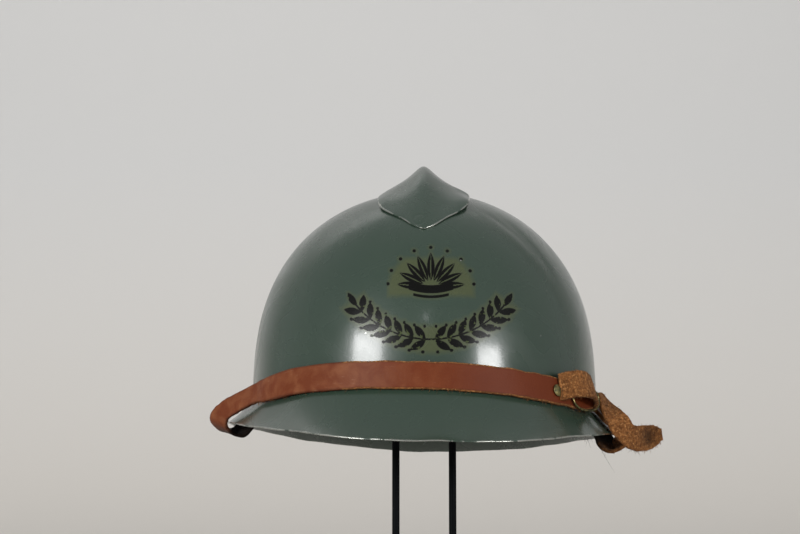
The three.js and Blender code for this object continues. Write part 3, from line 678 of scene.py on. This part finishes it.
# %% Palmette
# Leaves fan out from round its middle. Each has a bare vein and a bead beyond its tip. Two bent bands close
# the foot: their rise, half height and half width. The varnish covers a fan that is cut off above and below.
PALMETTE_X, PALMETTE_Z = 3.8, STAND + 82.5
LEAF_LENGTH, SHORTER, LEAF_WIDTH, VEIN, ROOT_OUT, BEAD_OUT, BEAD = 16.5, 1.5, 4.1, 1.0, 3.5, 3.0, 1.0
BANDS, FAN_RADIUS, FAN_HALF_HEIGHT, UNPRINTED = [(-1.2, 2.3, 12), (-5.4, 0.8, 9.5)], 25, 12.5, 9.0
x, z = np.meshgrid(np.arange(-20, 28.1, 0.3), np.arange(STAND + 75, STAND + 112.1, 0.3), indexing="ij")
distance = np.full(x.shape, UNPRINTED)
for tilt in np.radians(np.arange(-84, 85, 21)):
    length = LEAF_LENGTH - SHORTER * abs(tilt)
    grow = np.pi / 2 - tilt
    root = PALMETTE_X + ROOT_OUT * np.cos(grow) * 1.2, PALMETTE_Z + ROOT_OUT * np.sin(grow)
    tip = root[0] + (length + BEAD_OUT) * np.cos(grow) * 1.1, root[1] + (length + BEAD_OUT) * np.sin(grow)
    for shape in (leaf(x, z, *root, grow, length, LEAF_WIDTH), dot(x, z, *tip, BEAD)):
        distance = np.minimum(distance, shape)
    distance = np.where(leaf(x, z, *root, grow, length, VEIN) < 0, np.maximum(distance, 0.1), distance)
for rise, half_height, half_width in BANDS:
    bent_line = PALMETTE_Z + rise + ((x - PALMETTE_X) / 14) ** 2 * 3
    band = np.maximum(np.abs(z - bent_line) - half_height, np.abs(x - PALMETTE_X) - half_width)
    distance = np.minimum(distance, band)
fan = np.maximum(np.hypot(x - PALMETTE_X, z - PALMETTE_Z + 2) - FAN_RADIUS,
                 np.abs(z - PALMETTE_Z - 6) - FAN_HALF_HEIGHT)
palmette = film("palmette_film", x, z, distance, np.minimum(distance, fan + VARNISH), 0.0)

# %% Garland
# Its stem is an arc. Run is the way along it from the middle, and out is the way across. Pairs of leaflets
# and berries follow each other at even steps, and one leaf ends each half.
ARC_X, ARC_Z, ARC_RADIUS, ARC_HALF = 3.4, STAND + 104.4, 50.4, np.radians(58)
ARC_END, HALF_STEM, SPRAY_HALF_WIDTH = ARC_HALF * ARC_RADIUS, 0.5, 7.2
LEAFLET_STEP, LEAFLET_TILT, LEAFLET_LENGTH, LEAFLET_WIDTH, BERRY_OUT, BERRY = 6.4, 0.72, 9.6, 4.0, 6.9, 0.9
swing, out = np.meshgrid(np.linspace(-ARC_HALF - 0.09, ARC_HALF + 0.09, 330), np.arange(11.2, -11.3, -0.4),
                         indexing="ij")
x, z = ARC_X + (ARC_RADIUS + out) * np.sin(swing), ARC_Z - (ARC_RADIUS + out) * np.cos(swing)
run = np.abs(swing) * ARC_RADIUS
distance = np.maximum(np.abs(out) - HALF_STEM, run - ARC_END + 3)
distance = np.minimum(distance, leaf(run, out, ARC_END - 6, 0, 0, 9.5, 3.6))
for place in np.arange(2.5, ARC_END - 6, LEAFLET_STEP):
    for side in (-1, 1):
        leaflet = leaf(run, out, place, side * 0.4, side * LEAFLET_TILT, LEAFLET_LENGTH, LEAFLET_WIDTH)
        berry = dot(run, out, place + 1, side * BERRY_OUT, BERRY)
        distance = np.minimum(distance, np.minimum(leaflet, berry))
spray = np.maximum(np.abs(out) - SPRAY_HALF_WIDTH, run - ARC_END + 2)
garland = film("garland_film", x, z, distance, np.minimum(distance, spray), 1.0)

# %% [markdown]
# ## Stand
# The stand is plain: a turned steel base, two slim rods and a moulded pad under the crown. Base and rods
# could be cylinders with a bevel modifier. Turned profiles give the same and need no modifier. The pad is
# an oval whose top follows the inside of the bowl, so it can't be a turned body.

# %% Stand shapes
BASE_RADIUS, BASE_THICKNESS, BASE_BEVEL = 80.0, 8.0, 1.0
ROD_RADIUS, ROD_SPACING = 2.2, 33.4
PAD_HALF_WIDTH, PAD_HALF_LENGTH, PAD_THICKNESS, STAND_GAP = 36.0, 30.0, 5.0, 0.3
PAD_SQUARE, PAD_FIT = 0.7, 0.98


def bevelled(radius, low, high, bevel):
    """A turned profile from the middle of its underside to the middle of its top, its corners rounded."""
    bend = np.linspace(0, np.pi / 2, 6)
    under = np.stack([radius - bevel + bevel * np.sin(bend), low + bevel - bevel * np.cos(bend)], axis=-1)
    over = np.stack([radius - bevel + bevel * np.cos(bend), high - bevel + bevel * np.sin(bend)], axis=-1)
    inner = [radius - bevel - 0.02]
    return np.concatenate([[(0, low)], [(inner[0], low)], under, over, [(inner[0], high)], [(0, high)]])


base = turned_body("base_plate", bevelled(BASE_RADIUS, 0, BASE_THICKNESS, BASE_BEVEL), [0, 0, 1], np.zeros(3), 160)
rod_top = float(bowl_height(ROD_SPACING / 2 + ROD_RADIUS, ROD_RADIUS, STEEL)) - PAD_THICKNESS - 2 * STAND_GAP
rod_shape = bevelled(ROD_RADIUS, BASE_THICKNESS + STAND_GAP, rod_top, 0.3)
rods = [turned_body(f"rod_{name}", rod_shape, [0, 0, 1], np.array([place * ROD_SPACING / 2, 0, 0]), 40)
        for name, place in (("left", -1), ("right", 1))]

turns = np.radians(np.arange(0, 360, 5))[:, None]
lip = np.linspace(-np.pi / 2, np.pi / 2, 9)[None, :]
reach = [spaced(0, 0.93, 10)[None, :-1], 0.93 + 0.07 * np.cos(lip), spaced(0.93, 0, 10)[None, 1:]]
reach = np.concatenate(reach, axis=1)
sink = np.concatenate([np.ones((1, 9)), 0.5 - 0.5 * np.sin(lip), np.zeros((1, 9))], axis=1) * PAD_THICKNESS
x = PAD_HALF_WIDTH * PAD_FIT * reach * squared_off(np.cos(turns), PAD_SQUARE)
y = PAD_HALF_LENGTH * PAD_FIT * reach * squared_off(np.sin(turns), PAD_SQUARE)
z = bowl_height(x, y, STEEL) - STAND_GAP - sink
pad = piece("crown_pad", np.stack([x, y, z], axis=-1), grid_faces(*x.shape, True, False))

# %% [markdown]
# ## Materials
# Each finish is a small tree of nodes. Colours are given as on a screen and turned to linear light by one
# function. Pattern scales are one over a real size in metres, on Object coordinates.

# %% Helpers for finishes
RGBA = {"data_type": "RGBA", "take": 2}  # for a mix of colours, whose result is its third output


def paint(text):
    """A colour such as "#4a5b4f" in linear light: (value + 0.055) / 1.055 to the power 2.4."""
    value = np.array([int(text[place:place + 2], 16) for place in (1, 3, 5)]) / 255
    return (*np.where(value <= 0.04045, value / 12.92, ((value + 0.055) / 1.055) ** 2.4), 1.0)


def connect(node, inputs):
    """Gives a node's inputs, by name or in order, a value or a link from a socket each. A Map Range takes
    its value and the two ends of the range it comes from, then those of the range it goes to."""
    for key, value in inputs.items() if isinstance(inputs, dict) else enumerate(inputs):
        if isinstance(value, bpy.types.NodeSocket):
            node.id_data.links.new(value, node.inputs[key])
        else:
            node.inputs[key].default_value = value


def add(tree, kind, inputs=(), take=0, **settings):
    """Adds one node and gives back one of its outputs. Settings are the node's properties."""
    made = tree.nodes.new("ShaderNode" + kind)
    for key, value in settings.items():
        setattr(made, key, value)
    connect(made, inputs)
    return made.outputs[take]


def finish_of(name):
    """A new material with its tree, its shader and its Object coordinates."""
    made = bpy.data.materials.new(name)
    made.use_nodes = True
    tree = made.node_tree
    return made, tree, tree.nodes["Principled BSDF"], add(tree, "TexCoord", take="Object")


def patches(place, size, detail, **more):
    """The inputs of a pattern whose patches are size mm wide."""
    return {"Vector": place, "Scale": 1 / (size * METRE), "Detail": detail, **more}


def dress(made, slot, nodes, *finishes):
    """Gives a piece its materials, lets it ride on the one body, and hides the CAD nodes it stands for."""
    for finish in finishes:
        made.data.materials.append(finish)
    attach(made, "root")
    if nodes:
        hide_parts(*nodes)
    print(f"{made.name}: {' and '.join(finish.name for finish in finishes)}")


# %% [markdown]
# ### Stoved enamel
# Grey-green enamel was sprayed on the steel and baked, which gives a hard, smooth gloss with a faint
# orange peel. It clouds a little in tone, has small chips, and is worn to bright steel on cut edges. The
# ornament's film takes the same enamel with yellowed varnish over it, and its black ink is duller. A painted
# picture could carry the wear, but noise and distances have no seams and stay sharp at any size.

# %% Enamel
CHIPS = [(-45, -88, 110, 1.1), (-41, -100, 82, 0.7), (33, -84, 103, 0.8), (66, -80, 56, 0.5),
         (75, -62, 80, 0.9), (79, -58, 75, 0.6), (-60, -92, 62, 0.5), (20, -96, 98, 0.5)]  # place and radius, mm


def worn_paint(tree, place, grit):
    """Where steel shows, from 0 to 1: within a ragged distance of an edge, in chips and in fine specks."""
    edge = add(tree, "Attribute", take="Fac", attribute_name="edge_mm")
    ragged = add(tree, "Math", (grit, -0.9, 0.62), operation="MULTIPLY_ADD")
    stretch = add(tree, "TexNoise", patches(place, 9, 3.0))
    worn_rim = add(tree, "Math", (stretch, 3.0, -1.45), operation="MULTIPLY_ADD")
    ragged = add(tree, "Math", (ragged, worn_rim), operation="ADD")
    near = add(tree, "Math", (edge, ragged), operation="SUBTRACT")
    bare = add(tree, "MapRange", (near, 0.05, -0.05))
    for x, y, z, radius in CHIPS:
        middle = x * METRE, y * METRE, (z + STAND) * METRE
        away = add(tree, "VectorMath", (place, middle), "Value", operation="DISTANCE")
        rough = add(tree, "Math", (grit, -radius * METRE, away), operation="MULTIPLY_ADD")
        chip = add(tree, "Math", (rough, radius * METRE * 0.4), operation="LESS_THAN")
        bare = add(tree, "Math", (bare, chip), operation="MAXIMUM")
    speck = add(tree, "TexVoronoi", {"Vector": place, "Scale": 1 / (15 * METRE)})
    speck = add(tree, "Math", (speck, 0.022), operation="LESS_THAN")
    return add(tree, "Math", (bare, speck), operation="MAXIMUM")


def print_over(tree, place, colour):
    """Varnish over the paint by the distance cover_mm, then ink by ink_mm, flaked off where wear is high."""
    ink, wear, cover = (add(tree, "Attribute", take="Fac", attribute_name=mark)
                        for mark in ("ink_mm", "wear", "cover_mm"))
    flake = add(tree, "TexNoise", patches(place, 2.2, 5.0))
    worn = add(tree, "MapRange", (flake, 0.58, 0.64, 0.0, 1.2))
    worn = add(tree, "Math", (worn, wear), operation="MULTIPLY")
    halo = add(tree, "Math", (flake, 1.6, cover), operation="MULTIPLY_ADD")
    varnish = add(tree, "MapRange", (halo, 2.7, -0.6))
    thin = add(tree, "Math", (varnish, 0.55), operation="MULTIPLY")
    line = add(tree, "Math", (ink, worn), operation="ADD")
    black = add(tree, "MapRange", (line, 0.18, -0.18))
    for factor, over in ((thin, "#4b4e25"), (black, "#060605")):
        colour = add(tree, "Mix", {"Factor": factor, 6: colour, 7: paint(over)}, **RGBA)
    return colour


def enamel(name, printed, specular=0.5, coat=0.3):
    """Clouded paint, printed on or not, with bare steel over it and a clear gloss on top."""
    made, tree, shader, place = finish_of(name)
    cloud = add(tree, "TexNoise", patches(place, 60, 3.0))
    colour = add(tree, "Mix", {"Factor": cloud, 6: paint("#2a3b31"), 7: paint("#344338")}, **RGBA)
    grit = add(tree, "TexNoise", patches(place, 1.1, 4.0))
    bare = worn_paint(tree, place, grit)
    if printed:
        colour = print_over(tree, place, colour)
    steel = add(tree, "Mix", {"Factor": grit, 6: paint("#8d9089"), 7: paint("#c9cbc4")}, **RGBA)
    colour = add(tree, "Mix", {"Factor": bare, 6: colour, 7: steel}, **RGBA)
    smear = add(tree, "TexNoise", patches(place, 35, 5.0, Distortion=1.2))
    gloss = add(tree, "MapRange", (smear, 0.35, 0.7, 0.22, 0.34))
    peel = add(tree, "TexNoise", patches(place, 2.4, 2.0))
    bump = add(tree, "Bump", {"Height": peel, "Strength": 0.06, "Distance": 0.0004})
    connect(shader, {"Base Color": colour, "Roughness": gloss, "Metallic": bare, "Normal": bump,
                     "Specular IOR Level": specular, "Coat Weight": coat, "Coat Roughness": 0.12})
    return made


stoved_enamel = enamel("stoved_grey_green_enamel", False)
printed_enamel = enamel("varnished_transfer_on_enamel", True)
printed_ink = enamel("dull_transfer_ink_on_enamel", True, 0.2, 0.0)
for made, node in ((bowl, "bowl"), (brim, "brim"), (comb, "comb")):
    dress(made, "enamel", [node], stoved_enamel)
for made in (palmette, garland):
    dress(made, "enamel", [], printed_enamel, printed_ink)

# %% [markdown]
# ### Leather
# The strap is vegetable-tanned cowhide. Its grain side was dyed red-brown and polished, so it is smooth
# with fine creases, and at the left lighter and scratched lengthwise where it has rubbed. A picture of
# scratches would repeat, so noise stretched along the strap gives them. Both ends get painted shade by
# their marks: the stretch inside the bowl and under the rim, and the long strap's end under its fold.

# %% Grain side
grain_leather, tree, shader, place = finish_of("polished_grain_leather")
tone = add(tree, "TexNoise", patches(place, 28, 4.0))
side = add(tree, "SeparateXYZ", {"Vector": place})
left = add(tree, "MapRange", (side, 0.03, -0.05))
streak = add(tree, "TexNoise", patches(place, 9, 5.0, Distortion=0.6))
rubbed = add(tree, "MapRange", (streak, 0.4, 0.75, 0.1, 0.7))
rubbed = add(tree, "Math", (rubbed, left), operation="MULTIPLY")
edge, run, across, painted_shade, shaded = (add(tree, "Attribute", take="Fac", attribute_name=mark)
                                     for mark in ("edge_mm", "along_mm", "across_mm", "painted_shade", "shaded"))
dark = add(tree, "MapRange", (edge, 1.5, 0.2, 0.0, 0.55))
length = add(tree, "Math", (run, 0.12), operation="MULTIPLY")
streaked = add(tree, "CombineXYZ", {"X": length, "Y": across})
scuff = add(tree, "TexNoise", {"Vector": streaked, "Scale": 1.1, "Detail": 6.0, "Roughness": 0.7})
scuff = add(tree, "MapRange", (scuff, 0.6, 0.7, 0.0, 0.55))
scuff = add(tree, "Math", (scuff, rubbed), operation="MULTIPLY")
# Painted shade: the stretch under the rim and the end under the fold are laid on in near black as the last colour.
painted_shade = add(tree, "Math", (shaded, 0.6, painted_shade), operation="MULTIPLY_ADD", use_clamp=True)
colour = paint("#5a2612")
for factor, over in ((tone, "#6d331a"), (rubbed, "#8c5839"), (dark, "#351a12"), (scuff, "#c9a78f"),
                     (painted_shade, "#160d08")):
    colour = add(tree, "Mix", {"Factor": factor, 6: colour, 7: paint(over)}, **RGBA)
# Pores are really 0.1 to 0.2 mm apart. They are drawn at 0.9 mm, so that they show.
pores = add(tree, "TexVoronoi", {"Vector": place, "Scale": 1 / (0.9 * METRE)})
crease = add(tree, "TexNoise", patches(place, 4, 6.0, Distortion=0.8))
height = add(tree, "Math", (crease, 3.0, pores), operation="MULTIPLY_ADD")
bump = add(tree, "Bump", {"Height": height, "Strength": 0.25, "Distance": 0.0002})
connect(shader, {"Base Color": colour, "Normal": bump, "Roughness": 0.48, "Specular IOR Level": 0.12})
print(grain_leather.name, len(tree.nodes), "nodes")

# %% [markdown]
# The flesh side and the raw edges are a brown felt of fibres, dull, with a weak sheen. Real fibres all over
# would be far too many, so a deep bump stands for them. The tail's hollows and the stretch under the rim get
# painted shade. The threads are grey linen, dull and a little twisted in tone.

# %% Flesh side and thread
flesh_leather, tree, shader, place = finish_of("raw_flesh_leather")
felt = add(tree, "TexNoise", patches(place, 1.6, 8.0, Roughness=0.7))
tuft = add(tree, "MapRange", (felt, 0.3, 0.7))
shade = add(tree, "TexNoise", patches(place, 11, 3.0))
shade = add(tree, "MapRange", (shade, 0.4, 0.65, 0.0, 0.6))
bright = add(tree, "TexNoise", patches(place, 1.3, 4.0, Roughness=0.8))
bright = add(tree, "MapRange", (bright, 0.54, 0.62, 0.0, 0.7))
# Painted shade: the hollows of the tail and the stretch under the rim are darkened towards near black.
hollow, painted_shade = (add(tree, "Attribute", take="Fac", attribute_name=mark) for mark in ("hollow_mm", "painted_shade"))
hollow = add(tree, "Math", (hollow, 0.28), operation="MULTIPLY", use_clamp=True)
painted_shade = add(tree, "Math", (painted_shade, hollow), operation="MAXIMUM")
colour = paint("#3a1f0e")
for factor, over in ((tuft, "#a56c3c"), (shade, "#4e2c15"), (bright, "#c08a55"), (painted_shade, "#160d08")):
    colour = add(tree, "Mix", {"Factor": factor, 6: colour, 7: paint(over)}, **RGBA)
bump = add(tree, "Bump", {"Height": felt, "Strength": 1.0, "Distance": 0.0012})
connect(shader, {"Base Color": colour, "Normal": bump, "Roughness": 0.9, "Specular IOR Level": 0.1,
                 "Sheen Weight": 0.05, "Sheen Roughness": 0.5})

linen_thread, tree, shader, place = finish_of("grey_linen_thread")
twist = add(tree, "TexNoise", patches(place, 0.6, 2.0))
colour = add(tree, "Mix", {"Factor": twist, 6: paint("#4d4947"), 7: paint("#8a8581")}, **RGBA)
connect(shader, {"Base Color": colour, "Roughness": 0.9})

dress(long_strap, "leather", ["strap_long"], grain_leather, flesh_leather)
dress(short_strap, "leather", ["strap_short"], grain_leather, flesh_leather)
dress(fuzz, "leather", [], flesh_leather)
dress(threads, "leather", [], linen_thread)

# %% [markdown]
# ### Brass with a patina
# Ring and stud are brass that has dulled to olive in patches, where it is rougher too. Two patterns could
# give tone and roughness. One drives both, so that they change together as on the real metal.

# %% Brass
aged_brass, tree, shader, place = finish_of("aged_brass")
patina = add(tree, "TexNoise", patches(place, 2.5, 5.0))
dull = add(tree, "MapRange", (patina, 0.4, 0.6))
rough = add(tree, "MapRange", (dull, 0.0, 1.0, 0.28, 0.55))
colour = add(tree, "Mix", {"Factor": dull, 6: paint("#8f8358"), 7: paint("#4a4c38")}, **RGBA)
connect(shader, {"Base Color": colour, "Roughness": rough, "Metallic": 1.0})
dress(ring, "brass", ["strap_ring"], aged_brass)
dress(stud, "brass", ["strap_stud"], aged_brass)

# %% [markdown]
# ### Black stand
# Base, rods and the hidden plates are steel with a satin black powder coat. Its grain is finer than the
# mesh, so a bump gives it. The pad is moulded rubber, matt and slightly dusty, which one noise shows.

# %% Powder coat and rubber
powder_coat, tree, shader, place = finish_of("black_powder_coat")
grain = add(tree, "TexNoise", patches(place, 0.7, 3.0))  # really near 0.2 mm, drawn coarser so that it shows
dust = add(tree, "TexNoise", patches(place, 25, 5.0))
colour = add(tree, "Mix", {"Factor": dust, 6: paint("#06080a"), 7: paint("#0e1113")}, **RGBA)
bump = add(tree, "Bump", {"Height": grain, "Strength": 0.2, "Distance": 0.0002})
connect(shader, {"Base Color": colour, "Normal": bump, "Roughness": 0.5, "Specular IOR Level": 0.05})

moulded_rubber, tree, shader, place = finish_of("moulded_rubber")
dust = add(tree, "TexNoise", patches(place, 8, 5.0))
colour = add(tree, "Mix", {"Factor": dust, 6: paint("#141516"), 7: paint("#242525")}, **RGBA)
connect(shader, {"Base Color": colour, "Roughness": 0.8})

dress(base, "black_steel", ["stand_base"], powder_coat)
dress(rods[0], "black_steel", ["stand_rod_left"], powder_coat)
dress(rods[1], "black_steel", ["stand_rod_right"], powder_coat)
dress(pad, "pad_rubber", ["stand_saddle"], moulded_rubber)
for name in ("strap_bracket_left", "strap_bracket_right"):
    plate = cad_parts[name]
    plate.data.materials.clear()
    plate.data.materials.append(powder_coat)

# %% [markdown]
# ## Stage, light and camera
# The stage is one sheet of pale paper that sweeps up behind the stand. Two soft boxes stand in front at
# about 40 degrees to each side and low, where the bowl mirrors them above the strap. A small one in the
# middle adds a faint glint, and two wall lamps light the paper behind. The camera is a long lens a metre
# away, a little below the rim and tilted up.

# %% Stage
run = np.concatenate([[(-3000, 0), (1500, 0)],
                      [(1500 + 900 * np.sin(a), 900 - 900 * np.cos(a)) for a in np.linspace(0.1, np.pi / 2, 14)],
                      [(2400, 4500)]])
sweep = np.stack([np.stack([np.full(len(run), x), run[:, 0], run[:, 1] - 0.3], axis=-1) for x in (4500, -4500)])
paper = piece("paper_sweep", sweep, grid_faces(*sweep.shape[:2], False, False))
pale_paper, tree, shader, place = finish_of("pale_matt_paper")
rise = add(tree, "SeparateXYZ", {"Vector": place}, "Z")
rise = add(tree, "MapRange", (rise, 0.1, 0.75))
colour = add(tree, "Mix", {"Factor": rise, 6: paint("#d6d1cb"), 7: paint("#d0cfce")}, **RGBA)
connect(shader, {"Base Color": colour, "Roughness": 1.0, "Specular IOR Level": 0.0})
paper.data.materials.append(pale_paper)

# %% Light
AIM = np.array([0, 0, 0.19])


def soft_box(name, turn, rise, away, width, height, radiance, back=None):
    """A box at a turn from the visor and a rise over the horizon. Its power is radiance times pi times
    its area. It shines at the helmet unless the direction of its back is given."""
    turn, rise = np.radians(turn), np.radians(rise)
    way = np.array([np.sin(turn) * np.cos(rise), -np.cos(turn) * np.cos(rise), np.sin(rise)])
    data = bpy.data.lights.new(name, "AREA")
    data.shape = "RECTANGLE"
    data.size, data.size_y = width, height
    data.energy = radiance * np.pi * width * height
    made = bpy.data.objects.new(name, data)
    made.location = AIM + way * away
    made.rotation_mode = "QUATERNION"
    made.rotation_quaternion = Vector(back or way).to_track_quat("Z", "Y")
    bpy.context.scene.collection.objects.link(made)
    print(f"{name}: {data.energy:.1f} W")


soft_box("box_left", -40, 11.5, 2.2, 0.8, 0.5, 23)
soft_box("box_right", 46, 8, 2.2, 0.62, 0.35, 26)
soft_box("box_middle", 1, 26, 2.4, 0.12, 0.12, 10)
soft_box("wall_lamp", 188, 36, 1.5, 4.0, 0.3, 2.3, back=(0, -1, 0.1))
soft_box("wall_lamp_high", 226, 64, 3.9, 3.6, 0.5, 7.0, back=(0, -1, 0))
world = bpy.data.worlds.new("room")
bpy.context.scene.world = world
world.use_nodes = True
world.node_tree.nodes["Background"].inputs["Color"].default_value = paint("#b9bbbb")
world.node_tree.nodes["Background"].inputs["Strength"].default_value = 0.84
bpy.context.scene.view_settings.view_transform = "Standard"

# %% Camera
FOCAL_PIXELS, AXIS_SHIFT, BELOW_STAND_TOP, TILT_UP = 1683.0, 24.0, 20.24, 7.238
camera = bpy.data.objects.new("camera", bpy.data.cameras.new("camera"))
camera.data.sensor_width = 36.0
camera.data.lens = FOCAL_PIXELS / 800 * camera.data.sensor_width
camera.location = (0, -1.0, (STAND - BELOW_STAND_TOP) * METRE)
camera.rotation_euler = (np.radians(90 + TILT_UP), 0, np.arctan(AXIS_SHIFT / FOCAL_PIXELS))
bpy.context.scene.collection.objects.link(camera)
bpy.context.scene.camera = camera
print(f"lens {camera.data.lens:.1f} mm")
